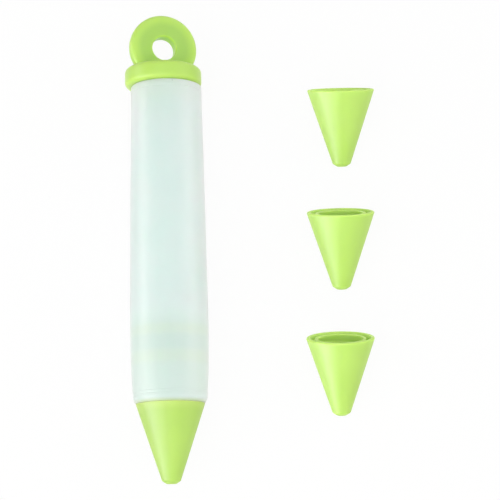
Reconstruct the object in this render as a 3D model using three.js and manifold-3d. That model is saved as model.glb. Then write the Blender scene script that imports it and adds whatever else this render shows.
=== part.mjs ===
// A squeeze pen for decorating cakes. A soft barrel is filled through its mouth, closed by a stopper
// cap with a hanging loop, and squeezed, so that icing leaves through a cone nozzle. A hard coupler
// held in the barrel's neck carries the nozzle. Three spare nozzles lie beside the pen.
// Millimetres, +Z up. The pen lies on its side along Y, with the cap towards +Y.
import * as THREE from 'three';
import * as BufferGeometryUtils from 'three/addons/utils/BufferGeometryUtils.js';
import Module from 'manifold-3d';

const wasm = await Module();
wasm.setup();

// Facets and arcs
const barrelFacets = 56;
const capFacets = 56;
const couplerFacets = 40;
const nozzleFacets = 44;
const arcSteps = 4;
const bulgeSteps = 6;

// Gaps between pieces, and how far a cutter runs past what it cuts
const fitGap = 0.3;
const overrun = 4;

// Barrel, heights counted from its nozzle end
const barrelLength = 115.2;
const barrelRadius = 14;
const widestHeight = 32;
const mouthRadius = 12.85;
const footRadius = 13.2;
const footChamfer = 0.8;
const footChamferHeight = 1.2;
const chamberRadius = 10.6;
const funnelHeight = 6;
const bellyPower = 2.8;
const taperPower = 1.1;

// Cap: flange as wide as the belly, plug and hanging loop
const flangeRadius = barrelRadius;
const flangeThickness = 6.9;
const flangeTopRound = 2;
const flangeLowRound = 1.7;
const plugRadius = 9.6;
const plugDepth = 9;
const plugLeadIn = 1.2;
const plugLipRun = 1.5;
const beadRise = 0.4;
const beadWidth = 1.8;
const capOffset = 1.05;
const loopRadius = 12.5;
const loopHoleRadius = 4.5;
const loopThickness = 5;
const loopRimRound = 1.5;
const loopHoleRound = 0.9;
const loopHeight = 14.6;
const loopTurn = THREE.MathUtils.degToRad(17);

// Coupler: end flange, shank, two holding discs and a lead-in, pierced by a bore
const couplerBoreRadius = 4.8;
const shankRadius = 7;
const seatFlangeRadius = 10;
const seatFlangeThickness = 1.6;
const lowDiscRadius = 10;
const lowDiscHeight = 13.2;
const lowDiscThickness = 4.2;
const highDiscRadius = 9.5;
const highDiscHeight = 23.2;
const highDiscThickness = 3.4;
const discChamfer = 0.8;
const leadRadius = 6.2;
const leadHeight = 34;
const spigotRadius = 7.75;
const spigotLength = 8;
const spigotChamfer = 0.8;

// Nozzle: hollow cone with a socket sleeve inside its rim
const nozzleLength = 28.4;
const nozzleRimRadius = 12.4;
const nozzleRimRound = 0.5;
const nozzleTipRadius = 3.3;
const nozzleTipChamfer = 1;
const nozzleEndRadius = 2.1;
const nozzleWall = 1.5;
const sleeveWall = 1.2;
const sleeveSetback = 0.4;
const socketFloorStep = 1.1;
const moatFloorWidth = 0.7;
const outletLand = 3;
const outletRadius = 1;
const spareOutletRadii = [0.75, 1.25, 1.5];

// Where the spare nozzles lie
const spareDistance = 62.5;
const sparePitch = 45.9;
const spareMiddleHeight = 68.1;
const spareColumnSlant = THREE.MathUtils.degToRad(1.8);

// Heights and radii that follow from the sizes above
const highDiscBack = highDiscHeight + highDiscThickness + fitGap;
const lipBlankRadius = plugRadius - beadRise;
const neckBoreRadius = shankRadius + fitGap;
const socketRadius = spigotRadius + fitGap;
const sleeveRadius = socketRadius + sleeveWall;
const socketDepth = spigotLength;
const mouthBoreRadius = plugRadius + beadRise + fitGap;
const nozzleSlope = (nozzleRimRadius - nozzleTipRadius) / (nozzleLength - nozzleTipChamfer);
const nozzleHalfAngle = Math.atan(nozzleSlope);
const flangeUnderside = barrelLength + fitGap;

const silicone = { color: 0xd9ede7, roughness: 0.55, metalness: 0 };
const limeSilicone = { color: 0xb4e070, roughness: 0.5, metalness: 0 };
const limePlastic = { color: 0xc4ef74, roughness: 0.42, metalness: 0 };

// Points of a quarter round between two angles, in degrees
function arc(centreR, centreY, radius, fromDegrees, toDegrees) {
  const points = [];
  for (let step = 0; step <= arcSteps; step += 1) {
    const angle = THREE.MathUtils.degToRad(fromDegrees + (toDegrees - fromDegrees) * step / arcSteps);
    points.push([centreR + radius * Math.cos(angle), centreY + radius * Math.sin(angle)]);
  }
  return points;
}

// Revolves [radius, height] points about Y, listed counter-clockwise. An outline that starts on the
// axis ends there too, and any other closes on itself.
function revolve(outline, facets) {
  const startsOnAxis = outline[0][0] === 0;
  const closed = startsOnAxis ? outline : [...outline, outline[0]];
  const points = closed.map(([radius, height]) => new THREE.Vector2(radius, height));
  const geometry = new THREE.LatheGeometry(points, facets);
  geometry.deleteAttribute('normal');
  geometry.deleteAttribute('uv');
  return BufferGeometryUtils.mergeVertices(geometry);
}

function toSolid(geometry) {
  return new wasm.Manifold(new wasm.Mesh({
    numProp: 3,
    vertProperties: new Float32Array(geometry.attributes.position.array),
    triVerts: new Uint32Array(geometry.index.array),
  }));
}

function toGeometry(solid) {
  const mesh = solid.getMesh();
  const geometry = new THREE.BufferGeometry();
  geometry.setAttribute('position', new THREE.BufferAttribute(mesh.vertProperties, 3));
  geometry.setIndex(new THREE.BufferAttribute(mesh.triVerts, 1));
  return geometry;
}

function piece(name, geometry, look) {
  const mesh = new THREE.Mesh(geometry, new THREE.MeshStandardMaterial(look));
  mesh.name = name;
  return mesh;
}

// Outer radius of the barrel: it swells from the foot to the belly and tapers to the mouth
function barrelOuter(height) {
  if (height < widestHeight) {
    const down = (widestHeight - height) / (widestHeight - footChamferHeight);
    return barrelRadius - (barrelRadius - footRadius) * down ** bellyPower;
  }
  const up = (height - widestHeight) / (barrelLength - widestHeight);
  return barrelRadius - (barrelRadius - mouthRadius) * up ** taperPower;
}

function barrelOutline() {
  const outer = [[footRadius - footChamfer, 0]];
  for (let step = 0; step <= bulgeSteps; step += 1) {
    const height = footChamferHeight + (widestHeight - footChamferHeight) * step / bulgeSteps;
    outer.push([barrelOuter(height), height]);
  }
  for (let step = 1; step <= bulgeSteps; step += 1) {
    const height = widestHeight + (barrelLength - widestHeight) * step / bulgeSteps;
    outer.push([barrelOuter(height), height]);
  }
  const lipFoot = barrelLength - plugDepth + plugLipRun;
  const lowGroove = lowDiscRadius + fitGap;
  const highGroove = highDiscRadius + fitGap;
  const inner = [
    [lipBlankRadius, barrelLength],
    [lipBlankRadius, lipFoot],
    [chamberRadius, lipFoot],
    [chamberRadius, highDiscBack + funnelHeight],
    [highGroove, highDiscBack],
    [highGroove, highDiscHeight - fitGap],
    [neckBoreRadius, highDiscHeight - fitGap],
    [neckBoreRadius, lowDiscHeight + lowDiscThickness + fitGap],
    [lowGroove, lowDiscHeight + lowDiscThickness + fitGap],
    [lowGroove, lowDiscHeight - fitGap],
    [neckBoreRadius, lowDiscHeight - fitGap],
    [neckBoreRadius, seatFlangeThickness + fitGap],
    [seatFlangeRadius + fitGap, seatFlangeThickness + fitGap],
    [seatFlangeRadius + fitGap, 0],
  ];
  return [...outer, ...inner];
}

// The mouth is bored where the stopper sits, a little off the barrel's axis
function makeBarrel() {
  const tube = toSolid(revolve(barrelOutline(), barrelFacets));
  const boreFoot = barrelLength - plugDepth;
  const bore = revolve([
    [0, boreFoot],
    [mouthBoreRadius, boreFoot],
    [mouthBoreRadius, barrelLength + overrun],
    [0, barrelLength + overrun],
  ], capFacets);
  bore.translate(-capOffset, 0, 0);
  return piece('barrel', toGeometry(tube.subtract(toSolid(bore))), silicone);
}

// Flange and plug in one revolve, heights counted from the flange's underside
function stopperOutline() {
  const beadHeight = -(plugDepth + plugLeadIn) / 2;
  return [
    [0, -plugDepth],
    [plugRadius - plugLeadIn, -plugDepth],
    [plugRadius, -plugDepth + plugLeadIn],
    [plugRadius, beadHeight - beadWidth / 2],
    [plugRadius + beadRise, beadHeight],
    [plugRadius, beadHeight + beadWidth / 2],
    [plugRadius, 0],
    ...arc(flangeRadius - flangeLowRound, flangeLowRound, flangeLowRound, -90, 0),
    ...arc(flangeRadius - flangeTopRound, flangeThickness - flangeTopRound, flangeTopRound, 0, 90),
    [0, flangeThickness],
  ];
}

// Flat ring with rounded rims, its own axis square to the pen's and turned about it
function loopGeometry() {
  const top = loopThickness / 2;
  const ring = revolve([
    ...arc(loopRadius - loopRimRound, loopRimRound - top, loopRimRound, -90, 0),
    ...arc(loopRadius - loopRimRound, top - loopRimRound, loopRimRound, 0, 90),
    ...arc(loopHoleRadius + loopHoleRound, top - loopHoleRound, loopHoleRound, 90, 180),
    ...arc(loopHoleRadius + loopHoleRound, loopHoleRound - top, loopHoleRound, 180, 270),
  ], capFacets);
  ring.rotateX(Math.PI / 2);
  ring.rotateY(loopTurn);
  ring.translate(0, loopHeight, 0);
  return ring;
}

function makeCap() {
  const stopper = toSolid(revolve(stopperOutline(), capFacets));
  const cap = piece('cap', toGeometry(stopper.add(toSolid(loopGeometry()))), limeSilicone);
  cap.position.set(-capOffset, flangeUnderside, 0);
  return cap;
}

// A disc of the coupler with both rims chamfered, as outline points going up
function discOutline(radius, foot, thickness) {
  return [
    [shankRadius, foot],
    [radius - discChamfer, foot],
    [radius, foot + discChamfer],
    [radius, foot + thickness - discChamfer],
    [radius - discChamfer, foot + thickness],
    [shankRadius, foot + thickness],
  ];
}

function makeCoupler() {
  const outline = [
    [couplerBoreRadius, -spigotLength],
    [spigotRadius - spigotChamfer, -spigotLength],
    [spigotRadius, -spigotLength + spigotChamfer],
    [spigotRadius, 0],
    [seatFlangeRadius, 0],
    [seatFlangeRadius, seatFlangeThickness],
    [shankRadius, seatFlangeThickness],
    ...discOutline(lowDiscRadius, lowDiscHeight, lowDiscThickness),
    ...discOutline(highDiscRadius, highDiscHeight, highDiscThickness),
    [leadRadius, leadHeight],
    [couplerBoreRadius, leadHeight],
  ];
  return piece('coupler', revolve(outline, couplerFacets), limePlastic);
}

// Nozzle outline, heights counted from its rim, the tip below
function nozzleOutline(outlet) {
  const rimInside = nozzleRimRadius - nozzleWall;
  const moatDepth = (rimInside - sleeveRadius - moatFloorWidth) / nozzleSlope;
  return [
    [outlet, -nozzleLength],
    [nozzleEndRadius, -nozzleLength],
    [nozzleTipRadius, -nozzleLength + nozzleTipChamfer],
    [nozzleRimRadius - nozzleRimRound * nozzleSlope, -nozzleRimRound],
    [nozzleRimRadius - nozzleRimRound, 0],
    [rimInside, 0],
    [sleeveRadius + moatFloorWidth, -moatDepth],
    [sleeveRadius, -moatDepth],
    [sleeveRadius, -sleeveSetback],
    [socketRadius, -sleeveSetback],
    [socketRadius, -socketDepth - fitGap],
    [socketRadius - socketFloorStep, -socketDepth - fitGap],
    [outlet, -nozzleLength + outletLand],
  ];
}

function makeNozzle(name, outlet) {
  return piece(name, revolve(nozzleOutline(outlet), nozzleFacets), limePlastic);
}

// Each spare nozzle rests on its own slanting side, rim up, in a column beside the pen
function makeSpares() {
  const column = new THREE.Group();
  spareOutletRadii.forEach((outlet, index) => {
    const spare = makeNozzle(`spare_nozzle_${index + 1}`, outlet);
    const along = ((spareOutletRadii.length - 1) / 2 - index) * sparePitch;
    spare.position.set(
      spareDistance + along * Math.tan(spareColumnSlant),
      spareMiddleHeight + along,
      nozzleRimRadius * Math.cos(nozzleHalfAngle),
    );
    spare.rotation.x = nozzleHalfAngle;
    column.add(spare);
  });
  return column;
}

// The pen lies on its flange and belly; everything is centred over the origin
function makePen() {
  const pen = new THREE.Group();
  const nozzle = makeNozzle('nozzle', outletRadius);
  nozzle.position.y = -fitGap;
  pen.add(makeBarrel(), makeCap(), makeCoupler(), nozzle);
  pen.position.z = barrelRadius;
  return pen;
}

const part = new THREE.Group();
part.add(makePen(), makeSpares());
part.updateMatrixWorld(true);
const extent = new THREE.Box3().setFromObject(part, true);
part.position.set(-(extent.min.x + extent.max.x) / 2, -(extent.min.y + extent.max.y) / 2, -extent.min.z);

export default part;
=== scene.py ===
# %% [markdown]
# # A squeeze pen for decorating cakes
# The object is a soft silicone tube that is filled with icing, closed with a lime stopper and squeezed,
# so that the icing leaves through a lime cone nozzle. Three more nozzles lie beside it. Nearly every
# piece is a turned shape, so one small Geometry Nodes tree that revolves an outline makes them all, and
# the work is in good outlines and in materials that let light in. This first cell loads the packed
# model, which says where every piece is.

# %% Load the frame
import math

import bpy
from mathutils import Matrix, Vector


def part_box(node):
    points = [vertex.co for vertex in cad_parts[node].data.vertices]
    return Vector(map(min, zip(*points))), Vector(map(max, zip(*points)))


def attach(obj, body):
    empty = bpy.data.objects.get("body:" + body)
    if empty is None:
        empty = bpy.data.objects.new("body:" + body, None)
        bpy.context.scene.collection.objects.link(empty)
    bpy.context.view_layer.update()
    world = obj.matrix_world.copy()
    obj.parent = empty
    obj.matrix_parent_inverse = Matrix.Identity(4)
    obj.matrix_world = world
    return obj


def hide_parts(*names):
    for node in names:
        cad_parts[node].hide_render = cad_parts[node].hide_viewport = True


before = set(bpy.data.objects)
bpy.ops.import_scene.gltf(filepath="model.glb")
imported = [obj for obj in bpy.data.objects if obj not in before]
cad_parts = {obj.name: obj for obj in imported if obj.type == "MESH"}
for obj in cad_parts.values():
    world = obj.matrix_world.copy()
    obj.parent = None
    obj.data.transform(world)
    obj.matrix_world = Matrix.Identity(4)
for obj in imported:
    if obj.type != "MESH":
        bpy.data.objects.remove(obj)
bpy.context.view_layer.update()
MM = 0.001
print("frame holds", sorted(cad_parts))

# %% [markdown]
# Every place is read from the frame: the barrel's box gives the pen's axis, and its low end is the
# height from which the pieces of the pen are measured. The cap sits a little to the left of that axis,
# because a soft stopper is pushed in by hand, and its own box says by how much.

# %% Places from the frame
barrel_low, barrel_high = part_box("barrel")
cap_low, cap_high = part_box("cap")
nozzle_low, nozzle_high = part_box("nozzle")
foot = Vector(((barrel_low.x + barrel_high.x) / 2, barrel_low.y, (barrel_low.z + barrel_high.z) / 2))
barrel_length = (barrel_high.y - barrel_low.y) / MM
barrel_radius = (barrel_high.x - barrel_low.x) / 2 / MM
cap_offset = (cap_low.x + cap_high.x) / 2 / MM - foot.x / MM
nozzle_rim = Vector((foot.x, nozzle_high.y, foot.z))
print(f"barrel {barrel_length:.1f} mm long, {barrel_radius * 2:.1f} mm thick, cap off by {cap_offset:.2f} mm")

# %% [markdown]
# A camera that looks almost straight down, tipped a little towards the nozzle end, gives the
# photograph's view: the rims then show as shallow arcs. Its distance sets how much those arcs open from
# one end of the pen to the other. Blender's helpers would take another image size here, so the lens
# follows from the image width in pixels.

# %% Camera
IMAGE_WIDTH = 500
FOCAL_PIXELS = 1778.2
CAMERA_DISTANCE = 0.640
CAMERA_TILT = math.radians(10.69)
CAMERA_ROLL = math.radians(-1.28)
CAMERA_TARGET = foot + Vector((29.38, 54.26, 0)) * MM


def place_camera():
    """A camera that looks down at the target, tipped towards -Y and rolled a little."""
    data = bpy.data.cameras.new("camera")
    data.lens = FOCAL_PIXELS / IMAGE_WIDTH * data.sensor_width
    data.clip_start = 0.01
    data.clip_end = 20
    forward = Vector((0, math.sin(CAMERA_TILT), -math.cos(CAMERA_TILT)))
    level_up = Vector((0, math.cos(CAMERA_TILT), math.sin(CAMERA_TILT)))
    level_right = Vector((1, 0, 0))
    right = level_right * math.cos(CAMERA_ROLL) + level_up * math.sin(CAMERA_ROLL)
    up = level_up * math.cos(CAMERA_ROLL) - level_right * math.sin(CAMERA_ROLL)
    camera = bpy.data.objects.new("camera", data)
    turn = Matrix((right, up, -forward)).transposed().to_4x4()
    camera.matrix_world = Matrix.Translation(CAMERA_TARGET - forward * CAMERA_DISTANCE) @ turn
    bpy.context.scene.collection.objects.link(camera)
    bpy.context.scene.camera = camera
    return data


print(f"lens {place_camera().lens:.1f} mm")

# %% [markdown]
# ## Helpers
# Colours are easiest to read as the hex values of a picture editor, which are sRGB, but shaders want
# linear light, so one function converts them. A second one adds a node with its settings and links,
# which keeps each tree below about as long as its drawing.

# %% Colours and nodes


def linear(hex_colour):
    """An sRGB hex value such as "#C4EF74" as linear RGBA."""
    channels = [int(hex_colour[i:i + 2], 16) / 255 for i in (1, 3, 5)]
    return tuple(c / 12.92 if c <= 0.04045 else ((c + 0.055) / 1.055) ** 2.4 for c in channels) + (1.0,)


def add_node(tree, kind, settings=None, inputs=None):
    """Adds a node, sets its properties, and sets or links its inputs."""
    node = tree.nodes.new(kind)
    for name, value in (settings or {}).items():
        setattr(node, name, value)
    for name, value in (inputs or {}).items():
        socket = node.inputs[name]
        if isinstance(value, bpy.types.NodeSocket):
            tree.links.new(value, socket)
        else:
            socket.default_value = value
    return node


print("#808080 is", round(linear("#808080")[0], 3), "in linear light")

# %% [markdown]
# ## Materials
# Every material here needs the same few parts: a fine grain, a slow drift of colour, small specks, and a
# way to say between which heights something is. They read Object coordinates, which stay with the piece
# when it moves.

# %% Parts of the materials
# The real tool's grain is about 0.05 mm, too fine to show in a picture of this size, so it is coarser
FINE_GRAIN = 0.6 * MM
BROAD_CLOUD = 16 * MM


def new_material(name):
    material = bpy.data.materials.new(name)
    material.use_nodes = True
    material.node_tree.nodes.clear()
    return material, material.node_tree


def finish_material(tree, shader):
    add_node(tree, "ShaderNodeOutputMaterial", inputs={"Surface": shader.outputs[0]})


def grain_bump(tree, grain, depth, strength):
    """Fine moulded texture: noise of a given grain size, in metres, as a bump normal."""
    place = add_node(tree, "ShaderNodeTexCoord")
    noise = add_node(tree, "ShaderNodeTexNoise", inputs={
        "Vector": place.outputs["Object"], "Scale": 1 / grain, "Detail": 2.0, "Roughness": 0.5})
    bump = add_node(tree, "ShaderNodeBump", inputs={
        "Height": noise.outputs[0], "Distance": depth, "Strength": strength})
    return bump.outputs["Normal"]


def cloudy(tree, size, low, high):
    """A number that drifts between two values over the given size."""
    place = add_node(tree, "ShaderNodeTexCoord")
    noise = add_node(tree, "ShaderNodeTexNoise", inputs={
        "Vector": place.outputs["Object"], "Scale": 1 / size, "Detail": 1.0})
    spread = add_node(tree, "ShaderNodeMapRange", inputs={
        "Value": noise.outputs[0], "From Min": 0.3, "From Max": 0.7, "To Min": low, "To Max": high})
    return spread.outputs[0]


def specks(tree, spacing, radius):
    """1 in small dots that lie about the given distance apart, in metres, and 0 between them."""
    place = add_node(tree, "ShaderNodeTexCoord")
    cells = add_node(tree, "ShaderNodeTexVoronoi", {"feature": "F1"}, {
        "Vector": place.outputs["Object"], "Scale": 1 / spacing})
    dot = add_node(tree, "ShaderNodeMapRange", {"interpolation_type": "SMOOTHSTEP"}, {
        "Value": cells.outputs["Distance"], "From Min": radius / spacing, "From Max": 0.4 * radius / spacing})
    return dot.outputs[0]


def between(tree, value, low, high, blur):
    """1 where a value in metres lies between two limits, fading to 0 over a blur on either side."""
    rise = add_node(tree, "ShaderNodeMapRange", {"interpolation_type": "SMOOTHSTEP"}, {
        "Value": value, "From Min": low - blur, "From Max": low + blur})
    fall = add_node(tree, "ShaderNodeMapRange", {"interpolation_type": "SMOOTHSTEP"}, {
        "Value": value, "From Min": high - blur, "From Max": high + blur, "To Min": 1.0, "To Max": 0.0})
    return add_node(tree, "ShaderNodeMath", {"operation": "MULTIPLY"}, {
        0: rise.outputs[0], 1: fall.outputs[0]}).outputs[0]


print(f"grain drawn at {FINE_GRAIN / MM:.1f} mm, clouds at {BROAD_CLOUD / MM:.0f} mm")

# %% [markdown]
# The barrel is frosted silicone, moulded in a spark-eroded steel tool. The eye gets a matte skin with
# a soft sheen, and a wall that glows, because light goes in, scatters a few millimetres and comes out
# again. What lies behind the wall shows through it: the coupler's lime discs as faint bands in the thick
# neck, a deeper shade in the gap between them, the plug near the mouth, and the nozzle at the foot's thin
# edge. These are painted light and painted shade. A painted gradient on the outside would hold from one
# side only, so here the colours are painted on the inner faces of the wall and at heights along the pen,
# which holds from every side, and a small share of them goes on the outside too.

# %% Painted light and shade behind the wall
INNER_SIDE_RADIUS = 11.2 * MM
SOLID_NECK = 24 * MM
NECK_FADE = 12 * MM
# Painted lime light at the foot's thin edge, where the nozzle behind it shows
NOZZLE_LIGHT_LOW = -4 * MM
NOZZLE_LIGHT_HIGH = 0.1 * MM
NOZZLE_LIGHT_BLUR = 0.8 * MM
ZONE_BLUR = 1.2 * MM
CHAMBER_TEAL = "#BDE9DC"
# Painted shade in the gap between the coupler's discs, and painted lime light from the discs and the plug
PAINTED_LIGHT_AND_SHADE_ZONES = (
    (17.4 * MM, 23.2 * MM, "#5CC4B6"),
    (13.2 * MM, 17.4 * MM, "#D3F094"),
    (23.2 * MM, 26.6 * MM, "#D3F094"),
    (109 * MM, 116 * MM, "#BFE6C8"),
)


def inside_with_painted_light_and_shade(tree):
    """The inner side of the wall: teal, with painted shade deeper in the neck, and painted lime light at the
    plug and the coupler's discs.
    """
    place = add_node(tree, "ShaderNodeTexCoord")
    split = add_node(tree, "ShaderNodeSeparateXYZ", inputs={"Vector": place.outputs["Object"]})
    colour = linear(CHAMBER_TEAL)
    for low, high, zone_colour in PAINTED_LIGHT_AND_SHADE_ZONES:
        near = between(tree, split.outputs["Y"], foot.y + low, foot.y + high, ZONE_BLUR)
        colour = add_node(tree, "ShaderNodeMix", {"data_type": "RGBA"}, {
            0: near, 6: colour, 7: linear(zone_colour)}).outputs[2]
    return colour


def solid_neck(tree):
    """1 at the foot, where the wall is solid up to the coupler, fading to 0 where it is thin."""
    place = add_node(tree, "ShaderNodeTexCoord")
    split = add_node(tree, "ShaderNodeSeparateXYZ", inputs={"Vector": place.outputs["Object"]})
    fade = add_node(tree, "ShaderNodeMapRange", {"interpolation_type": "SMOOTHSTEP"}, {
        "Value": split.outputs["Y"], "From Min": foot.y + SOLID_NECK,
        "From Max": foot.y + SOLID_NECK + NECK_FADE, "To Min": 1.0, "To Max": 0.0})
    return fade.outputs[0]


def painted_nozzle_light(tree):
    """Painted lime light: 1 at the thin edge of the foot, where the lime nozzle behind it shows, fading
    upwards.
    """
    place = add_node(tree, "ShaderNodeTexCoord")
    split = add_node(tree, "ShaderNodeSeparateXYZ", inputs={"Vector": place.outputs["Object"]})
    return between(
        tree, split.outputs["Y"], foot.y + NOZZLE_LIGHT_LOW, foot.y + NOZZLE_LIGHT_HIGH, NOZZLE_LIGHT_BLUR)


def inner_side(tree):
    """1 on the faces that look into the chamber, 0 on the outside."""
    place = add_node(tree, "ShaderNodeTexCoord")
    from_axis = add_node(tree, "ShaderNodeVectorMath", {"operation": "SUBTRACT"}, {
        0: place.outputs["Object"], 1: foot})
    across = add_node(tree, "ShaderNodeVectorMath", {"operation": "MULTIPLY"}, {
        0: from_axis.outputs[0], 1: (1, 0, 1)})
    radius = add_node(tree, "ShaderNodeVectorMath", {"operation": "LENGTH"}, {0: across.outputs[0]})
    return add_node(tree, "ShaderNodeMath", {"operation": "LESS_THAN"}, {
        0: radius.outputs["Value"], 1: INNER_SIDE_RADIUS}).outputs[0]


print(len(PAINTED_LIGHT_AND_SHADE_ZONES), "zones of colour behind the wall")

# %% [markdown]
# Subsurface scattering gives the glow, and some transmission lets the teal of the chamber show. The neck
# is solid round the coupler, so it passes less light. The sheen is the pale bloom of a frosted skin seen
# at a slant, and a few faint specks are the dust that silicone always holds.

# %% Frosted silicone
SILICONE_IOR = 1.41
SPECK_SPACING = 9 * MM
SPECK_RADIUS = 0.35 * MM
# The share of the painted light and shade from behind the wall that is painted on the outside too
PAINTED_INSIDE_SHARE = 0.04
WALL_PASSES = 0.4
NECK_PASSES = 0.22
RUBBER_GRAIN_DEPTH = 0.01 * MM


def frosted_silicone():
    material, tree = new_material("frosted clear silicone")
    tint = add_node(tree, "ShaderNodeMix", {"data_type": "RGBA"}, {
        0: cloudy(tree, BROAD_CLOUD, 0.0, 1.0), 6: linear("#EFFBF8"), 7: linear("#F4FEFC")})
    specked = add_node(tree, "ShaderNodeMix", {"data_type": "RGBA"}, {
        0: specks(tree, SPECK_SPACING, SPECK_RADIUS), 6: tint.outputs[2], 7: linear("#CFDEDA")})
    solid = solid_neck(tree)
    thick = add_node(tree, "ShaderNodeMix", {"data_type": "RGBA"}, {
        0: solid, 6: specked.outputs[2], 7: linear("#DCEBE4")})
    # Painted light and shade from behind the wall, on the inner faces, and a small share of it on the outside
    inside = inside_with_painted_light_and_shade(tree)
    # Painted lime light from the nozzle behind the foot's thin edge
    nozzle_lit = add_node(tree, "ShaderNodeMix", {"data_type": "RGBA"}, {
        0: painted_nozzle_light(tree), 6: thick.outputs[2], 7: linear("#CCDFAC")})
    outside = add_node(tree, "ShaderNodeMix", {"data_type": "RGBA"}, {
        0: PAINTED_INSIDE_SHARE, 6: nozzle_lit.outputs[2], 7: inside})
    both_sides = add_node(tree, "ShaderNodeMix", {"data_type": "RGBA"}, {
        0: inner_side(tree), 6: outside.outputs[2], 7: inside})
    see_through = add_node(tree, "ShaderNodeMapRange", inputs={
        "Value": solid, "To Min": WALL_PASSES, "To Max": NECK_PASSES})
    shader = add_node(tree, "ShaderNodeBsdfPrincipled", inputs={
        "Base Color": both_sides.outputs[2],
        "Roughness": cloudy(tree, BROAD_CLOUD, 0.32, 0.38),
        "IOR": SILICONE_IOR,
        "Transmission Weight": see_through.outputs[0],
        "Normal": grain_bump(tree, FINE_GRAIN, RUBBER_GRAIN_DEPTH, 0.4)})
    shader.inputs["Subsurface Weight"].default_value = 0.8
    shader.inputs["Subsurface Radius"].default_value = (1.0, 1.1, 1.05)
    shader.inputs["Subsurface Scale"].default_value = 2 * MM
    shader.inputs["Sheen Weight"].default_value = 1.0
    shader.inputs["Sheen Roughness"].default_value = 0.3
    finish_material(tree, shader)
    return material


frosted = frosted_silicone()
print("made", frosted.name)

# %% [markdown]
# The stopper is the same rubber with a lime pigment: nearly opaque, with light that spreads a few
# millimetres inside it and softens every edge. Its ring is far thinner than its flange and passes more
# light on, so painted shade makes the flat of the ring a little deeper, and painted light makes the wall
# of its hole purer.

# %% Lime silicone
LOOP_RADIUS = 12.5
# Where the painted shade on the flat of the ring reaches
LOOP_SHADE_RADIUS = 9.6 * MM
LOOP_SHADE_BLUR = 1.4 * MM
FLANGE_BELOW_LOOP = 8 * MM
FLANGE_FADE = 2 * MM
# Painted light on the wall of the ring's hole
HOLE_LIGHT_REACH = 5.2 * MM
HOLE_LIGHT_BLUR = 0.25 * MM
loop_middle = Vector((foot.x + cap_offset * MM, cap_high.y - LOOP_RADIUS * MM, foot.z))


def near_loop_middle(tree, reach, blur):
    """1 within a reach of the hanging ring's middle, fading to 0 over a blur on either side."""
    place = add_node(tree, "ShaderNodeTexCoord")
    from_middle = add_node(tree, "ShaderNodeVectorMath", {"operation": "SUBTRACT"}, {
        0: place.outputs["Object"], 1: loop_middle})
    distance = add_node(tree, "ShaderNodeVectorMath", {"operation": "LENGTH"}, {0: from_middle.outputs[0]})
    return add_node(tree, "ShaderNodeMapRange", {"interpolation_type": "SMOOTHSTEP"}, {
        "Value": distance.outputs["Value"], "From Min": reach + blur, "From Max": reach - blur}).outputs[0]


def painted_loop_shade(tree):
    """Painted shade: 1 on the flat of the hanging ring, 0 on its rounded rim and on the thick flange."""
    place = add_node(tree, "ShaderNodeTexCoord")
    split = add_node(tree, "ShaderNodeSeparateXYZ", inputs={"Vector": place.outputs["Object"]})
    clear = add_node(tree, "ShaderNodeMapRange", {"interpolation_type": "SMOOTHSTEP"}, {
        "Value": split.outputs["Y"], "From Min": loop_middle.y - FLANGE_BELOW_LOOP,
        "From Max": loop_middle.y - FLANGE_BELOW_LOOP + FLANGE_FADE})
    return add_node(tree, "ShaderNodeMath", {"operation": "MULTIPLY"}, {
        0: near_loop_middle(tree, LOOP_SHADE_RADIUS, LOOP_SHADE_BLUR), 1: clear.outputs[0]}).outputs[0]


def lime_silicone():
    material, tree = new_material("lime pigmented silicone")
    tint = add_node(tree, "ShaderNodeMix", {"data_type": "RGBA"}, {
        0: cloudy(tree, BROAD_CLOUD, 0.0, 1.0), 6: linear("#BBE067"), 7: linear("#BFE36C")})
    # Painted shade: the flat of the ring a little deeper
    shaded_loop = add_node(tree, "ShaderNodeMix", {"data_type": "RGBA"}, {
        0: painted_loop_shade(tree), 6: tint.outputs[2], 7: linear("#AFD767")})
    # Painted light: the wall of the ring's hole purer and lighter
    lit_hole_wall = add_node(tree, "ShaderNodeMix", {"data_type": "RGBA"}, {
        0: near_loop_middle(tree, HOLE_LIGHT_REACH, HOLE_LIGHT_BLUR),
        6: shaded_loop.outputs[2], 7: linear("#BCE45A")})
    shader = add_node(tree, "ShaderNodeBsdfPrincipled", inputs={
        "Base Color": lit_hole_wall.outputs[2],
        "Roughness": cloudy(tree, BROAD_CLOUD, 0.28, 0.33),
        "IOR": SILICONE_IOR,
        "Normal": grain_bump(tree, FINE_GRAIN, RUBBER_GRAIN_DEPTH, 0.4)})
    shader.inputs["Subsurface Weight"].default_value = 0.8
    shader.inputs["Subsurface Radius"].default_value = (1.0, 1.0, 0.4)
    shader.inputs["Subsurface Scale"].default_value = 3.5 * MM
    finish_material(tree, shader)
    return material


lime_rubber = lime_silicone()
print("made", lime_rubber.name)

# %% [markdown]
# The nozzles and the coupler are moulded polypropylene: a satin skin with a broad highlight, and a wall
# thin enough that light scatters through its edges. The mounted nozzle's rim touches the pale silicone,
# which lights it from behind, so painted light makes its colour paler in the last few millimetres, and a
# painted highlight at the very edge takes the shadow out of the fit line.

# %% Lime polypropylene
POLYPROPYLENE_IOR = 1.49
PLASTIC_GRAIN_DEPTH = 0.008 * MM
# Painted light at the mounted nozzle's rim, and a painted highlight at its very edge
RIM_LIGHT_REACH = 4 * MM
EDGE_LIGHT_REACH = 0.5 * MM


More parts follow.
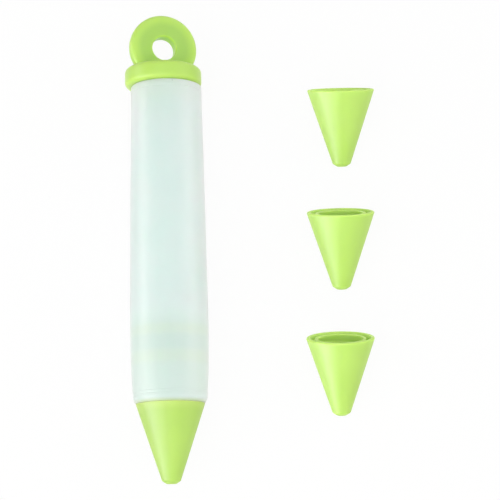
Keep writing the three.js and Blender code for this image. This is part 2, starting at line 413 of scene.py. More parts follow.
def painted_rim_light(tree, reach):
    """Painted light: 1 at the mounted nozzle's rim, which the pale foot behind it lights, fading towards the
    tip.
    """
    place = add_node(tree, "ShaderNodeTexCoord")
    split = add_node(tree, "ShaderNodeSeparateXYZ", inputs={"Vector": place.outputs["Object"]})
    near = add_node(tree, "ShaderNodeMapRange", {"interpolation_type": "SMOOTHSTEP"}, {
        "Value": split.outputs["Y"], "From Min": nozzle_rim.y - reach, "From Max": nozzle_rim.y})
    on_pen = add_node(tree, "ShaderNodeMath", {"operation": "LESS_THAN"}, {0: split.outputs["X"], 1: 0.0})
    return add_node(tree, "ShaderNodeMath", {"operation": "MULTIPLY"}, {
        0: near.outputs[0], 1: on_pen.outputs[0]}).outputs[0]


def lime_polypropylene():
    material, tree = new_material("lime moulded polypropylene")
    tint = add_node(tree, "ShaderNodeMix", {"data_type": "RGBA"}, {
        0: cloudy(tree, BROAD_CLOUD, 0.0, 1.0), 6: linear("#B1D55F"), 7: linear("#B6D965")})
    # Painted light from the pale foot behind the rim
    lit_rim = add_node(tree, "ShaderNodeMix", {"data_type": "RGBA"}, {
        0: painted_rim_light(tree, RIM_LIGHT_REACH), 6: tint.outputs[2], 7: linear("#BEDC6B")})
    # Painted highlight along the rim's edge, over the shadow of the fit line
    lit_edge = add_node(tree, "ShaderNodeMix", {"data_type": "RGBA"}, {
        0: painted_rim_light(tree, EDGE_LIGHT_REACH), 6: lit_rim.outputs[2], 7: linear("#F2FCC8")})
    shader = add_node(tree, "ShaderNodeBsdfPrincipled", inputs={
        "Base Color": lit_edge.outputs[2],
        "Roughness": cloudy(tree, BROAD_CLOUD, 0.47, 0.52),
        "IOR": POLYPROPYLENE_IOR,
        "Normal": grain_bump(tree, FINE_GRAIN, PLASTIC_GRAIN_DEPTH, 0.3)})
    shader.inputs["Subsurface Weight"].default_value = 0.6
    shader.inputs["Subsurface Radius"].default_value = (1.0, 1.0, 0.45)
    shader.inputs["Subsurface Scale"].default_value = 2.5 * MM
    shader.inputs["Transmission Weight"].default_value = 0.15
    finish_material(tree, shader)
    return material


lime_plastic = lime_polypropylene()
print("made", lime_plastic.name)

# %% [markdown]
# ## Outlines
# A turned piece is drawn as half of its section: a list of corners, each with a radius, a height along
# the axis and a rounding, in millimetres. Moulded edges are never quite sharp, and even a rounding of a
# few tenths of a millimetre catches a line of light, so each corner is replaced by a small arc.

# %% From corners to an outline
ARC_STEPS = 6
# A rounding stays just short of the middle of a run, so that two of them never meet
LONGEST_SHARE = 0.48


def corner_arc(before, corner, after, rounding):
    """Points of the arc that rounds a corner between two straight runs."""
    here = Vector(corner)
    to_before = Vector(before) - here
    to_after = Vector(after) - here
    half = to_before.angle(to_after) / 2
    longest = LONGEST_SHARE * min(to_before.length, to_after.length)
    reach = min(rounding / math.tan(half), longest)
    bulge = reach * math.tan(half)
    start = here + to_before.normalized() * reach
    end = here + to_after.normalized() * reach
    middle = (to_before.normalized() + to_after.normalized()).normalized()
    centre = here + middle * (bulge / math.sin(half))
    sweep = (start - centre).angle_signed(end - centre)
    points = []
    for step in range(ARC_STEPS + 1):
        spoke = (start - centre).copy()
        spoke.rotate(Matrix.Rotation(-sweep * step / ARC_STEPS, 2))
        points.append(tuple(centre + spoke))
    return points


def outline(corners, closed=True):
    """Corners (radius, height, rounding) as (radius, height) points, with the roundings drawn."""
    points = []
    count = len(corners)
    for index, (radius, height, rounding) in enumerate(corners):
        inner = closed or 0 < index < count - 1
        if rounding > 0 and inner:
            before = corners[index - 1][:2]
            after = corners[(index + 1) % count][:2]
            points += corner_arc(before, (radius, height), after, rounding)
        else:
            points.append((radius, height))
    return points


print("a rounded corner takes", ARC_STEPS + 1, "points")

# %% [markdown]
# Blender's Spin tool or a Screw modifier could turn the outline. A Geometry Nodes tree keeps the number
# of facets and the finish as named inputs, and serves every piece: the outline becomes a curve, is swept
# round a small circle, and the seam and the poles are merged. Sweeping adds the circle's radius to the
# outline's, so the outline is first moved in by that radius.

# %% The tree that revolves an outline
HUB = 1 * MM
SEAM_REACH = 0.001 * MM


def turned_piece_tree():
    tree = bpy.data.node_groups.new("turned piece", "GeometryNodeTree")
    sockets = tree.interface
    sockets.new_socket("Outline", in_out="INPUT", socket_type="NodeSocketGeometry")
    sockets.new_socket("Facets", in_out="INPUT", socket_type="NodeSocketInt")
    sockets.new_socket("Crease Angle", in_out="INPUT", socket_type="NodeSocketFloat")
    sockets.new_socket("Finish", in_out="INPUT", socket_type="NodeSocketMaterial")
    sockets.new_socket("Piece", in_out="OUTPUT", socket_type="NodeSocketGeometry")
    given = add_node(tree, "NodeGroupInput")
    section = add_node(tree, "GeometryNodeMeshToCurve", inputs={"Mesh": given.outputs["Outline"]})
    moved = add_node(tree, "GeometryNodeTransform", inputs={
        "Geometry": section.outputs[0], "Translation": (-HUB, 0, 0)})
    hub = add_node(tree, "GeometryNodeCurvePrimitiveCircle", inputs={
        "Resolution": given.outputs["Facets"], "Radius": HUB})
    swept = add_node(tree, "GeometryNodeCurveToMesh", inputs={
        "Curve": hub.outputs[0], "Profile Curve": moved.outputs[0]})
    laid = add_node(tree, "GeometryNodeTransform", inputs={
        "Geometry": swept.outputs[0], "Rotation": (math.pi / 2, 0, 0)})
    merged = add_node(tree, "GeometryNodeMergeByDistance", inputs={
        "Geometry": laid.outputs[0], "Distance": SEAM_REACH})
    smooth = add_node(tree, "GeometryNodeSetShadeSmooth", inputs={
        "Geometry": merged.outputs[0], "Shade Smooth": True})
    bend = add_node(tree, "GeometryNodeInputMeshEdgeAngle")
    sharp = add_node(tree, "FunctionNodeCompare", {"operation": "GREATER_THAN"}, {
        0: bend.outputs["Unsigned Angle"], 1: given.outputs["Crease Angle"]})
    creased = add_node(tree, "GeometryNodeSetShadeSmooth", {"domain": "EDGE"}, {
        "Geometry": smooth.outputs[0], "Selection": sharp.outputs[0], "Shade Smooth": False})
    real = add_node(tree, "GeometryNodeRealizeInstances", inputs={"Geometry": creased.outputs[0]})
    finished = add_node(tree, "GeometryNodeSetMaterial", inputs={
        "Geometry": real.outputs[0], "Material": given.outputs["Finish"]})
    add_node(tree, "NodeGroupOutput", inputs={"Piece": finished.outputs[0]})
    return tree


turned = turned_piece_tree()
print(turned.name, "takes", [s.name for s in turned.interface.items_tree if s.in_out == "INPUT"])

# %% [markdown]
# A tree runs as a modifier, whose inputs go by the identifiers of their sockets and are set before the
# object is first evaluated. The result is kept as a plain mesh and the modifier goes, so that the piece
# holds only a mesh.

# %% Running a tree
CREASE_ANGLE = math.radians(32)


def run_tree(name, tree, mesh, values):
    """Runs a tree on a mesh with named input values and returns the result as a plain mesh object."""
    carrier = bpy.data.objects.new(name, mesh)
    bpy.context.scene.collection.objects.link(carrier)
    modifier = carrier.modifiers.new("tree", "NODES")
    modifier.node_group = tree
    for socket in tree.interface.items_tree:
        if socket.in_out == "INPUT" and socket.name in values:
            modifier[socket.identifier] = values[socket.name]
    result = bpy.data.meshes.new_from_object(
        carrier.evaluated_get(bpy.context.evaluated_depsgraph_get()))
    carrier.modifiers.clear()
    carrier.data = result
    result.name = name
    return carrier


def turn(name, points, facets, finish, closed=True):
    """Revolves (radius, height) points in millimetres about Y, the height running along Y."""
    mesh = bpy.data.meshes.new(name)
    edges = [(i, i + 1) for i in range(len(points) - 1)]
    if closed:
        edges.append((len(points) - 1, 0))
    mesh.from_pydata([(r * MM, h * MM, 0) for r, h in points], edges, [])
    return run_tree(name, turned, mesh, {
        "Facets": facets, "Crease Angle": CREASE_ANGLE, "Finish": finish})


print(f"edges sharper than {math.degrees(CREASE_ANGLE):.0f} degrees stay creased")

# %% [markdown]
# A finished piece has its place in its mesh, with its object at the origin. Where a piece carries a
# second form, such as a thread or a ring, a Boolean union gives both one closed skin.

# %% Placing and joining


def settle(piece, matrix):
    """Moves a piece's mesh to its place, leaving its object at the origin."""
    piece.data.transform(matrix)
    piece.data.update()
    return piece


def fuse(piece, part):
    """Joins a part to a piece with a Boolean union, so that both have one skin."""
    join = piece.modifiers.new("join", "BOOLEAN")
    join.operation = "UNION"
    join.solver = "EXACT"
    join.object = part
    joined = bpy.data.meshes.new_from_object(
        piece.evaluated_get(bpy.context.evaluated_depsgraph_get()))
    piece.modifiers.clear()
    piece.data = joined
    bpy.data.objects.remove(part)
    joined.set_sharp_from_angle(angle=CREASE_ANGLE)


print("pieces are joined by union and creased at the same angle")

# %% [markdown]
# ## The barrel
# The barrel's outside follows one rule: it swells from its foot to the belly low down, where the hand
# squeezes, and tapers almost straight to the mouth. Two hair-fine lines run round the foot and one below
# the mouth.

# %% Barrel outside
WIDEST_HEIGHT = 32
MOUTH_RADIUS = 12.85
FOOT_RADIUS = 13.2
FOOT_CHAMFER = 0.8
FOOT_CHAMFER_HEIGHT = 1.2
BELLY_POWER = 2.8
TAPER_POWER = 1.1
WALL_STEPS = 25
FOOT_LINES = (2.5, 3.6)
FOOT_LINE_DEPTH = 0.06
MOUTH_LINE_DEPTH = 0.16
LINE_WIDTH = 0.4
MOUTH_LINE_BELOW = 2.2


def barrel_outer(height):
    """Outer radius of the barrel at a height above its foot, in millimetres."""
    if height < WIDEST_HEIGHT:
        down = (WIDEST_HEIGHT - height) / (WIDEST_HEIGHT - FOOT_CHAMFER_HEIGHT)
        return barrel_radius - (barrel_radius - FOOT_RADIUS) * down ** BELLY_POWER
    up = (height - WIDEST_HEIGHT) / (barrel_length - WIDEST_HEIGHT)
    return barrel_radius - (barrel_radius - MOUTH_RADIUS) * up ** TAPER_POWER


def line_corners(height, depth):
    """A fine engraved line round the barrel."""
    radius = barrel_outer(height)
    return [
        (radius, height - LINE_WIDTH / 2, 0.1),
        (radius - depth, height, 0.1),
        (radius, height + LINE_WIDTH / 2, 0.1),
    ]


print(f"radius {barrel_outer(FOOT_CHAMFER_HEIGHT):.1f} mm at the foot, {barrel_outer(WIDEST_HEIGHT):.1f} "
      f"at the belly, {barrel_outer(barrel_length):.2f} at the mouth")

# %% [markdown]
# The inside is a plain chamber above a thick neck with two grooves that grip the coupler. Soft silicone
# closes on its neighbours, so both ends stop only a few hundredths of a millimetre short of them, and a
# thin lip at the foot covers the joint with the nozzle's rim.

# %% Barrel outline
FIT_GAP = 0.3
END_GAP = 0.06
END_REACH = FIT_GAP - END_GAP
LIP_WIDTH = 0.35
LIP_REACH = 0.2
MOUTH_BORE = 10.3
MOUTH_DEPTH = 9.0
CHAMBER_RADIUS = 10.6
SEAT_RADIUS = 10
SEAT_THICKNESS = 1.6
SHANK_RADIUS = 7
LOW_DISC = (10, 13.2, 4.2)
HIGH_DISC = (9.5, 23.2, 3.4)
FUNNEL_HEIGHT = 6


def barrel_corners():
    foot_end = -END_REACH
    mouth_end = barrel_length + END_REACH
    mouth_line = barrel_length - MOUTH_LINE_BELOW
    lip_radius = FOOT_RADIUS - FOOT_CHAMFER
    outside = [
        (lip_radius - LIP_WIDTH, foot_end, 0),
        (lip_radius, foot_end - LIP_REACH, 0.1),
        (FOOT_RADIUS, FOOT_CHAMFER_HEIGHT, 1.0),
    ]
    for height in FOOT_LINES:
        outside += line_corners(height, FOOT_LINE_DEPTH)
    for step in range(1, WALL_STEPS):
        height = FOOT_LINES[-1] + (mouth_line - FOOT_LINES[-1]) * step / WALL_STEPS
        outside.append((barrel_outer(height), height, 0))
    outside += line_corners(mouth_line, MOUTH_LINE_DEPTH)
    neck = SHANK_RADIUS + FIT_GAP
    low_radius, low_height, low_thickness = LOW_DISC
    high_radius, high_height, high_thickness = HIGH_DISC
    inside = [
        (MOUTH_RADIUS, mouth_end, 0.5),
        (MOUTH_BORE, mouth_end, 0.4),
        (MOUTH_BORE, barrel_length - MOUTH_DEPTH, 0.1),
        (CHAMBER_RADIUS, barrel_length - MOUTH_DEPTH - 1, 0.5),
        (CHAMBER_RADIUS, high_height + high_thickness + FUNNEL_HEIGHT, 3),
        (high_radius + FIT_GAP, high_height + high_thickness + FIT_GAP, 0.3),
        (high_radius + FIT_GAP, high_height - FIT_GAP, 0.3),
        (neck, high_height - FIT_GAP, 0.3),
        (neck, low_height + low_thickness + FIT_GAP, 0.3),
        (low_radius + FIT_GAP, low_height + low_thickness + FIT_GAP, 0.3),
        (low_radius + FIT_GAP, low_height - FIT_GAP, 0.3),
        (neck, low_height - FIT_GAP, 0.3),
        (neck, SEAT_THICKNESS + FIT_GAP, 0.2),
        (SEAT_RADIUS + FIT_GAP, SEAT_THICKNESS + FIT_GAP, 0.2),
        (SEAT_RADIUS + FIT_GAP, foot_end, 0.2),
    ]
    return outside + inside


print("barrel outline has", len(barrel_corners()), "corners")

# %% [markdown]
# The stopper was pushed in a little off centre, and the soft mouth gives way: its bore goes with the
# plug while its outside stays round. After turning, the points of the bore are moved sideways by the
# cap's offset, fading out below the plug.

# %% Barrel
BARREL_FACETS = 128
PUSH_FADE = 6
BORE_MARGIN = 0.5


def push_mouth_aside(piece):
    fade_from = barrel_length - MOUTH_DEPTH - PUSH_FADE
    for vertex in piece.data.vertices:
        height = vertex.co.y / MM
        radius = math.hypot(vertex.co.x, vertex.co.z) / MM
        if height > fade_from and radius < CHAMBER_RADIUS + BORE_MARGIN:
            share = min(1, (height - fade_from) / PUSH_FADE)
            vertex.co.x += cap_offset * MM * share


barrel = turn("silicone_barrel", outline(barrel_corners()), BARREL_FACETS, frosted)
push_mouth_aside(barrel)
settle(barrel, Matrix.Translation(foot))
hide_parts("barrel")
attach(barrel, "pen")
print("barrel has", len(barrel.data.polygons), "faces")

# %% [markdown]
# ## The stopper cap
# One moulding: a plug with a sealing bead, a thick flange with generous roundings, and a flat ring to
# hang it by. Plug and flange are one outline and the ring another.

# %% Cap outlines
FLANGE_RADIUS = 14
FLANGE_THICKNESS = 6.9
PLUG_RADIUS = 9.6
PLUG_DEPTH = 9
PLUG_LEAD_IN = 1.2
BEAD_RISE = 0.4
BEAD_WIDTH = 1.8
LOOP_HOLE_RADIUS = 4.4
LOOP_HOLE_ROUND = 0.6
LOOP_RIM_ROUND = 1.8
LOOP_THICKNESS = 5


def stopper_corners():
    bead = -(PLUG_DEPTH + PLUG_LEAD_IN) / 2
    return [
        (0, -PLUG_DEPTH, 0),
        (PLUG_RADIUS - PLUG_LEAD_IN, -PLUG_DEPTH, 0.6),
        (PLUG_RADIUS, -PLUG_DEPTH + PLUG_LEAD_IN, 0.6),
        (PLUG_RADIUS, bead - BEAD_WIDTH / 2, 0.3),
        (PLUG_RADIUS + BEAD_RISE, bead, 0.8),
        (PLUG_RADIUS, bead + BEAD_WIDTH / 2, 0.3),
        (PLUG_RADIUS, 0, 0.3),
        (FLANGE_RADIUS, 0, 1.7),
        (FLANGE_RADIUS, FLANGE_THICKNESS, 2.0),
        (0, FLANGE_THICKNESS, 0),
    ]


def loop_corners():
    side = LOOP_THICKNESS / 2
    return [
        (LOOP_HOLE_RADIUS, -side, LOOP_HOLE_ROUND),
        (LOOP_RADIUS, -side, LOOP_RIM_ROUND),
        (LOOP_RADIUS, side, LOOP_RIM_ROUND),
        (LOOP_HOLE_RADIUS, side, LOOP_HOLE_ROUND),
    ]


print(f"ring {LOOP_RADIUS * 2:.0f} mm across, with a hole of {LOOP_HOLE_RADIUS * 2:.1f} mm")

# %% [markdown]
# The ring is turned 17 degrees about the pen's axis, as it happens to lie, so its left rim shows, and its
# hole lies a little nearer the flange than the ring's middle. A Boolean union joins ring and flange,
# which leaves one closed skin, so light scatters in it as in one piece of rubber.

# %% Cap
HOLE_DROP = 0.25
HOLE_DROP_REACH = 8
HOLE_DROP_FADE = 2
LOOP_HEIGHT = 14.6
LOOP_TURN = math.radians(17)
CAP_FACETS = 128


def lower_hole(loop):
    """Moves the ring's hole a little towards the flange, where the photograph shows it."""
    for vertex in loop.data.vertices:
        radius = math.hypot(vertex.co.x, vertex.co.z) / MM
        share = min(1, max(0, (HOLE_DROP_REACH - radius) / HOLE_DROP_FADE))
        vertex.co.z += HOLE_DROP * MM * share


def make_cap():
    cap = turn("stopper_cap", outline(stopper_corners(), closed=False), CAP_FACETS, lime_rubber,
               closed=False)
    loop = turn("loop_blank", outline(loop_corners()), CAP_FACETS, lime_rubber)
    lower_hole(loop)
    stand = Matrix.Translation((0, LOOP_HEIGHT * MM, 0))
    settle(loop, stand @ Matrix.Rotation(LOOP_TURN, 4, "Y") @ Matrix.Rotation(math.pi / 2, 4, "X"))
    fuse(cap, loop)
    return cap


cap = make_cap()
cap_seat = Vector((foot.x + cap_offset * MM, barrel_high.y + FIT_GAP * MM, foot.z))
settle(cap, Matrix.Translation(cap_seat))
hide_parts("cap")
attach(cap, "cap")
print("cap has", len(cap.data.polygons), "faces")

# %% [markdown]
# ## A screw thread
# The nozzles screw on. A thread is one more sweep: a small ridge carried along a right-handed helix,
# growing out of the wall at its start and sinking back at its end, as a moulded thread does. A second
# tree draws it with the radius, the pitch and the number of turns as inputs.

# %% The tree that winds a thread
THREAD_PITCH = 2
THREAD_RISE = 0.4
THREAD_ROOT = 0.15
THREAD_BASE = 1.1
THREAD_CREST = 0.4
THREAD_FADE = 0.07
THREAD_END_SCALE = 0.05
THREAD_STEPS = 64
# Turns the thread's ends off the edges of the wall's facets, where a union leaves slivers
THREAD_START_TURN = math.radians(1.4)


def thread_tree():
    tree = bpy.data.node_groups.new("screw thread", "GeometryNodeTree")
    sockets = tree.interface
    sockets.new_socket("Ridge", in_out="INPUT", socket_type="NodeSocketGeometry")
    for name in ("Radius", "Pitch", "Turns"):
        sockets.new_socket(name, in_out="INPUT", socket_type="NodeSocketFloat")
    sockets.new_socket("Finish", in_out="INPUT", socket_type="NodeSocketMaterial")
    sockets.new_socket("Thread", in_out="OUTPUT", socket_type="NodeSocketGeometry")
    given = add_node(tree, "NodeGroupInput")
    height = add_node(tree, "ShaderNodeMath", {"operation": "MULTIPLY"}, {
        0: given.outputs["Pitch"], 1: given.outputs["Turns"]})
    helix = add_node(tree, "GeometryNodeCurveSpiral", inputs={
        "Resolution": THREAD_STEPS, "Rotations": given.outputs["Turns"], "Height": height.outputs[0],
        "Start Radius": given.outputs["Radius"], "End Radius": given.outputs["Radius"], "Reverse": True})
    upright = add_node(tree, "GeometryNodeSetCurveNormal", {"mode": "Z_UP"}, {"Curve": helix.outputs[0]})
    ridge = add_node(tree, "GeometryNodeMeshToCurve", inputs={"Mesh": given.outputs["Ridge"]})
    along = add_node(tree, "GeometryNodeSplineParameter")
    grow = add_node(tree, "ShaderNodeMapRange", {"interpolation_type": "SMOOTHSTEP"}, {
        "Value": along.outputs["Factor"], "From Max": THREAD_FADE, "To Min": THREAD_END_SCALE})
    sink = add_node(tree, "ShaderNodeMapRange", {"interpolation_type": "SMOOTHSTEP"}, {
        "Value": along.outputs["Factor"], "From Min": 1.0, "From Max": 1 - THREAD_FADE,
        "To Min": THREAD_END_SCALE})
    size = add_node(tree, "ShaderNodeMath", {"operation": "MULTIPLY"}, {
        0: grow.outputs[0], 1: sink.outputs[0]})
    swept = add_node(tree, "GeometryNodeCurveToMesh", inputs={
        "Curve": upright.outputs[0], "Profile Curve": ridge.outputs[0], "Scale": size.outputs[0],
        "Fill Caps": True})
    laid = add_node(tree, "GeometryNodeTransform", inputs={
        "Geometry": swept.outputs[0], "Rotation": (math.pi / 2, THREAD_START_TURN, 0)})
    real = add_node(tree, "GeometryNodeRealizeInstances", inputs={"Geometry": laid.outputs[0]})
    finished = add_node(tree, "GeometryNodeSetMaterial", inputs={
        "Geometry": real.outputs[0], "Material": given.outputs["Finish"]})
    add_node(tree, "NodeGroupOutput", inputs={"Thread": finished.outputs[0]})
    return tree


threads = thread_tree()
print("a thread rises", THREAD_PITCH, "mm a turn")

# %% [markdown]
# The thread's section is a low ridge with a flat crest, whose root reaches a little into the wall, so
# that the union has something to bite on. The same ridge stands outwards on the spigot and inwards in
# a socket.

# %% Winding a thread


def wind_thread(radius, start, turns, outwards):
    """A ridge wound down a wall from a given height, standing outwards on a spigot or inwards in a bore."""
    side = 1 if outwards else -1
    section = [
        (-THREAD_ROOT, -THREAD_BASE / 2), (THREAD_RISE, -THREAD_CREST / 2),
        (THREAD_RISE, THREAD_CREST / 2), (-THREAD_ROOT, THREAD_BASE / 2)]
    corners = [(side * x * MM, y * MM, 0) for x, y in section][::side]
    mesh = bpy.data.meshes.new("ridge")
    mesh.from_pydata(corners, [(0, 1), (1, 2), (2, 3), (3, 0)], [])
    thread = run_tree("thread", threads, mesh, {
        "Radius": radius * MM, "Pitch": THREAD_PITCH * MM, "Turns": turns, "Finish": lime_plastic})
    return settle(thread, Matrix.Translation((0, start * MM, 0)))


print("a crest stands", THREAD_RISE, "mm high and is", THREAD_CREST, "mm wide")

# %% [markdown]
# ## The coupler
# A hard moulding inside the neck: a seat flange, a shank, two discs that lock in the barrel's grooves,
# and a lead-in. Below it a spigot carries the nozzle's thread. It is one outline, revolved by the same
# tree as the rest, with the thread joined to it by a Boolean union.

# %% Coupler
COUPLER_FACETS = 96
COUPLER_BORE = 4.8
LEAD_RADIUS = 6.2
LEAD_HEIGHT = 34
DISC_CHAMFER = 0.8
SPIGOT_CORE = 7.35
SPIGOT_LENGTH = 8
SPIGOT_THREAD_START = -1.0
SPIGOT_TURNS = 3


def disc_corners(disc):
    radius, height, thickness = disc
    return [
        (SHANK_RADIUS, height, 0.2),
        (radius, height, DISC_CHAMFER),
        (radius, height + thickness, DISC_CHAMFER),
        (SHANK_RADIUS, height + thickness, 0.2),
    ]


def coupler_corners():
    return [
        (COUPLER_BORE, -SPIGOT_LENGTH, 0.3),
        (SPIGOT_CORE, -SPIGOT_LENGTH, 0.5),
        (SPIGOT_CORE, 0, 0.2),
        (SEAT_RADIUS, 0, 0.3),
        (SEAT_RADIUS, SEAT_THICKNESS, 0.3),
        (SHANK_RADIUS, SEAT_THICKNESS, 0.2),
        *disc_corners(LOW_DISC),
        *disc_corners(HIGH_DISC),
        (LEAD_RADIUS, LEAD_HEIGHT, 0.5),
        (COUPLER_BORE, LEAD_HEIGHT, 0.3),
    ]


coupler = turn("neck_coupler", outline(coupler_corners()), COUPLER_FACETS, lime_plastic)
fuse(coupler, wind_thread(SPIGOT_CORE, SPIGOT_THREAD_START, SPIGOT_TURNS, outwards=True))
settle(coupler, Matrix.Translation(foot))
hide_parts("coupler")
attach(coupler, "pen")
print("coupler has", len(coupler.data.polygons), "faces")

# %% [markdown]
# ## Nozzles
# A nozzle is a hollow cone cut off flat at the tip. Inside its rim stands a sleeve, with a narrow moat
# round it, and the spigot screws into that sleeve. All four share one outline, and only the outlet
# differs, so that each draws another width of line.

# %% Nozzle outline
NOZZLE_LENGTH = 28.4
RIM_RADIUS = 12.4
RIM_ROUND = 0.45
TIP_RADIUS = 3.3
TIP_CHAMFER = 1
END_RADIUS = 1.8
NOZZLE_WALL = 1.5
SOCKET_RADIUS = 8.05
SLEEVE_WALL = 1.2
SLEEVE_SETBACK = 0.4
SOCKET_DEPTH = 8.3
SOCKET_FLOOR_STEP = 1.1
MOAT_FLOOR = 0.7
OUTLET_LAND = 3
OUTLET_RADII = {"nozzle": 1.0, "spare_nozzle_1": 0.75, "spare_nozzle_2": 1.25, "spare_nozzle_3": 1.5}
SOCKET_THREAD_START = SPIGOT_THREAD_START + FIT_GAP - THREAD_PITCH / 2
SOCKET_TURNS = 2.75
NOZZLE_FACETS = 128
cone_slope = (RIM_RADIUS - TIP_RADIUS) / (NOZZLE_LENGTH - TIP_CHAMFER)
cone_half_angle = math.atan(cone_slope)


def nozzle_corners(outlet):
    rim_inside = RIM_RADIUS - NOZZLE_WALL
    sleeve = SOCKET_RADIUS + SLEEVE_WALL
    moat_depth = (rim_inside - sleeve - MOAT_FLOOR) / cone_slope
    return [
        (outlet, -NOZZLE_LENGTH, 0.1),
        (END_RADIUS, -NOZZLE_LENGTH, 0.3),
        (TIP_RADIUS, -NOZZLE_LENGTH + TIP_CHAMFER, 0.9),
        (RIM_RADIUS, 0, RIM_ROUND),
        (rim_inside, 0, 0.3),
        (sleeve + MOAT_FLOOR, -moat_depth, 0.25),
        (sleeve, -moat_depth, 0.25),
        (sleeve, -SLEEVE_SETBACK, 0.3),
        (SOCKET_RADIUS, -SLEEVE_SETBACK, 0.4),
        (SOCKET_RADIUS, -SOCKET_DEPTH, 0.3),
        (SOCKET_RADIUS - SOCKET_FLOOR_STEP, -SOCKET_DEPTH, 0.3),
        (outlet, -NOZZLE_LENGTH + OUTLET_LAND, 2),
    ]


print(f"a cone's side slants by {math.degrees(cone_half_angle):.1f} degrees")

# %% [markdown]
# The mounted nozzle hangs on the pen's axis, its rim just below the barrel's foot. A loose nozzle lies
# on its slanting side, so it is tipped by the cone's half angle until that side is level, and its box in
# the frame says where its rim is.

# %% Nozzles


def spare_place(node):
    """Where a spare nozzle's rim centre is, and how it is tipped."""
    low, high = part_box(node)
    rim_rise = (RIM_RADIUS - RIM_ROUND) * math.sin(cone_half_angle) * MM
    rim = Vector(((low.x + high.x) / 2, high.y - rim_rise, RIM_RADIUS * math.cos(cone_half_angle) * MM))
    return Matrix.Translation(rim) @ Matrix.Rotation(cone_half_angle, 4, "X")


nozzle_places = {"nozzle": Matrix.Translation(nozzle_rim)}
for number in (1, 2, 3):
    nozzle_places[f"spare_nozzle_{number}"] = spare_place(f"spare_nozzle_{number}")

cones = {}
for node, place in nozzle_places.items():
    cone = turn(f"{node}_cone", outline(nozzle_corners(OUTLET_RADII[node])), NOZZLE_FACETS, lime_plastic)
    fuse(cone, wind_thread(SOCKET_RADIUS, SOCKET_THREAD_START, SOCKET_TURNS, outwards=False))
    settle(cone, place)
    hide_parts(node)
    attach(cone, node)
    cones[node] = cone
mounted_cone = cones.pop("nozzle")
spare_cones = list(cones.values())
print("made a mounted nozzle and", len(spare_cones), "spares")

# %% [markdown]
# ## Floor and light
# The photograph's ground is plain white and almost without shadow. Lighting a white floor until it
# clips would wash out the object, so the floor keeps an ordinary white paint for the light that bounces,
# and the rays that look at it see mostly an even white with a share of the paint's own shading, in
# which the soft shadow stays.

# %% Floor
EVEN_WHITE_SHARE = 0.94
FLOOR_SIZE = 6


def floor_material():
    material, tree = new_material("white studio floor")
    rays = add_node(tree, "ShaderNodeLightPath")
    seen = add_node(tree, "ShaderNodeMath", {"operation": "ADD", "use_clamp": True}, {
        0: rays.outputs["Is Camera Ray"], 1: rays.outputs["Is Glossy Ray"]})
    seen_all = add_node(tree, "ShaderNodeMath", {"operation": "ADD", "use_clamp": True}, {
        0: seen.outputs[0], 1: rays.outputs["Is Transmission Ray"]})
    share = add_node(tree, "ShaderNodeMath", {"operation": "MULTIPLY"}, {
        0: seen_all.outputs[0], 1: EVEN_WHITE_SHARE})
    paint = add_node(tree, "ShaderNodeBsdfDiffuse", inputs={"Color": linear("#F4F4F2")})
    white = add_node(tree, "ShaderNodeEmission", inputs={"Color": (1, 1, 1, 1), "Strength": 1.0})
    both = add_node(tree, "ShaderNodeMixShader", inputs={
        0: share.outputs[0], 1: paint.outputs[0], 2: white.outputs[0]})
    finish_material(tree, both)
    return material


def make_floor():
    half = FLOOR_SIZE / 2
    mesh = bpy.data.meshes.new("floor")
    mesh.from_pydata([(-half, -half, 0), (half, -half, 0), (half, half, 0), (-half, half, 0)], [],
                     [(0, 1, 2, 3)])
    floor = bpy.data.objects.new("floor", mesh)
    floor.data.materials.append(floor_material())
    bpy.context.scene.collection.objects.link(floor)


make_floor()
print("floor is", FLOOR_SIZE, "m wide")

# %% [markdown]
# A studio has softboxes, and white cards that lift a shade or only show as a reflection, as the pale
# band along the left of the cones does. Blender's ray visibility makes both kinds of card. Cards held
# close to one piece would spoil the others, so light linking keeps them on it, as flags do.

# %% Kinds of lamp


def soft_light(name, place, aim, width, height, watts, colour=(1, 1, 1)):
    """A softbox at a place, in metres, that faces the point it is aimed at."""
    data = bpy.data.lights.new(name, "AREA")
    data.shape = "RECTANGLE"
    data.size = width
    data.size_y = height
    data.energy = watts
    data.color = colour
    lamp = bpy.data.objects.new(name, data)
    lamp.location = place
    lamp.rotation_euler = (Vector(aim) - Vector(place)).to_track_quat("-Z", "Y").to_euler()
    bpy.context.scene.collection.objects.link(lamp)
    return lamp


def fill_card(name, place, aim, width, height, watts, colour=(1, 1, 1)):
    """A card that lifts the shade of a piece and leaves no gloss on it."""
    lamp = soft_light(name, place, aim, width, height, watts, colour)
    lamp.visible_glossy = False
    return lamp


def gloss_card(name, place, aim, width, height, watts, colour=(1, 1, 1)):
    """A card that only shows as a reflection, so it adds gloss and no light to the colour."""
    lamp = soft_light(name, place, aim, width, height, watts, colour)
    lamp.visible_diffuse = False
    lamp.visible_transmission = False
    return lamp


def light_only(lamp, pieces):
    """Keeps a card's light on the pieces it is held for, as black flags do in a studio."""
    receivers = bpy.data.collections.new(f"lit by {lamp.name}")
    for piece in pieces:
        receivers.objects.link(piece)
    lamp.light_linking.receiver_collection = receivers
    lamp.light_linking.blocker_collection = receivers


print("kinds of lamp: softbox, fill card and gloss card")

# %% [markdown]
# Light comes from large soft sources all round, the strongest on the left and overhead, so shades stay
# even and nothing clips. The cards are coloured, as the light in the photograph is: it leaves the barrel
# a little warmer at its sides, and the gloss on the cones cooler.

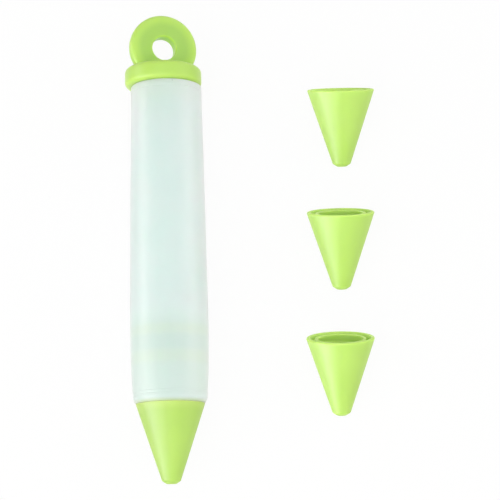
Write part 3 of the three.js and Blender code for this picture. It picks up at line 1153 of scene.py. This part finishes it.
# %% Lamps
STAGE = (0, 0, 0.01)
SPARES = (0.03, 0, 0.01)
MOUNTED_CONE = (-0.03, -0.07, 0.01)
soft_light("key softbox", (-0.58, -0.32, 0.46), STAGE, 1.2, 1.0, 6.5)
soft_light("right softbox", (0.8, 0.3, 0.38), STAGE, 1.5, 0.7, 3.2)
soft_light("front right softbox", (0.58, -0.32, 0.46), STAGE, 1.2, 1.0, 2.4)
fill_card("front fill card", (0, -0.8, 0.4), STAGE, 1.2, 0.7, 1.2)
soft_light("back softbox", (0, 0.8, 0.5), STAGE, 1.2, 0.7, 1.6)
soft_light("overhead softbox", (0, 0, 1.0), STAGE, 1.0, 1.0, 4.4)
gloss_card("left gloss card", (-0.8, -0.4, 0.42), STAGE, 0.6, 1.0, 5.0)
gloss_card("low left gloss card", (-0.9, 0, 0.2), STAGE, 1.4, 0.4, 3.5)
barrel_cards = [
    fill_card("barrel left card", (-0.85, 0.0, 0.1), STAGE, 1.4, 0.3, 1.7, (1.0, 0.86, 0.84)),
    fill_card("barrel right card", (0.85, 0.0, 0.1), STAGE, 1.4, 0.3, 3.6, (1.0, 0.76, 0.88)),
    gloss_card("barrel right gloss card", (0.75, 0.2, 0.3), STAGE, 1.2, 0.5, 1.4, (1.0, 0.35, 0.5)),
    gloss_card("barrel left gloss card", (-0.85, 0.0, 0.2), STAGE, 1.4, 0.6, 1.8, (1.0, 0.4, 0.45)),
]
nozzle_right = fill_card("nozzle right card", (0.85, -0.2, 0.1), STAGE, 1.2, 0.3, 1.5)
spare_cards = [
    soft_light("spare nozzle card", (-0.75, -0.6, 0.12), SPARES, 0.8, 0.4, 3.6),
    gloss_card("spare nozzle gloss card", (-0.75, -0.4, 0.1), SPARES, 1.0, 0.2, 7.0, (0.8, 0.6, 1.0)),
]
cone_gloss = gloss_card(
    "mounted nozzle gloss card", (-0.8, -0.4, 0.2), MOUNTED_CONE, 1.0, 0.4, 4.6, (0.4, 0.15, 1.0))
spare_cards.append(soft_light("spare mouth card", (0.1, 0.8, 0.55), SPARES, 1.0, 0.5, 4.0))
for card in barrel_cards:
    light_only(card, [barrel])
for card in spare_cards:
    light_only(card, spare_cones)
light_only(cone_gloss, [mounted_cone])
light_only(nozzle_right, [mounted_cone, *spare_cones])
print("made", len(bpy.data.lights), "lamps and cards")

# %% [markdown]
# The world is white for the rays that look at it and almost dark for the light it sends, so the ground
# is white beyond the floor and the lamps alone shape the object.

# %% World
WORLD_LIGHT = 0.02


def make_world():
    world = bpy.data.worlds.new("white studio")
    world.use_nodes = True
    tree = world.node_tree
    tree.nodes.clear()
    rays = add_node(tree, "ShaderNodeLightPath")
    seen = add_node(tree, "ShaderNodeMath", {"operation": "ADD", "use_clamp": True}, {
        0: rays.outputs["Is Camera Ray"], 1: rays.outputs["Is Transmission Ray"]})
    seen_all = add_node(tree, "ShaderNodeMath", {"operation": "ADD", "use_clamp": True}, {
        0: seen.outputs[0], 1: rays.outputs["Is Glossy Ray"]})
    strength = add_node(tree, "ShaderNodeMapRange", inputs={
        "Value": seen_all.outputs[0], "To Min": WORLD_LIGHT, "To Max": 1.0})
    white = add_node(tree, "ShaderNodeBackground", inputs={
        "Color": (1, 1, 1, 1), "Strength": strength.outputs[0]})
    add_node(tree, "ShaderNodeOutputWorld", inputs={"Surface": white.outputs[0]})
    bpy.context.scene.world = world


make_world()
bpy.context.scene.view_settings.view_transform = "Standard"
print("world is", bpy.context.scene.world.name)
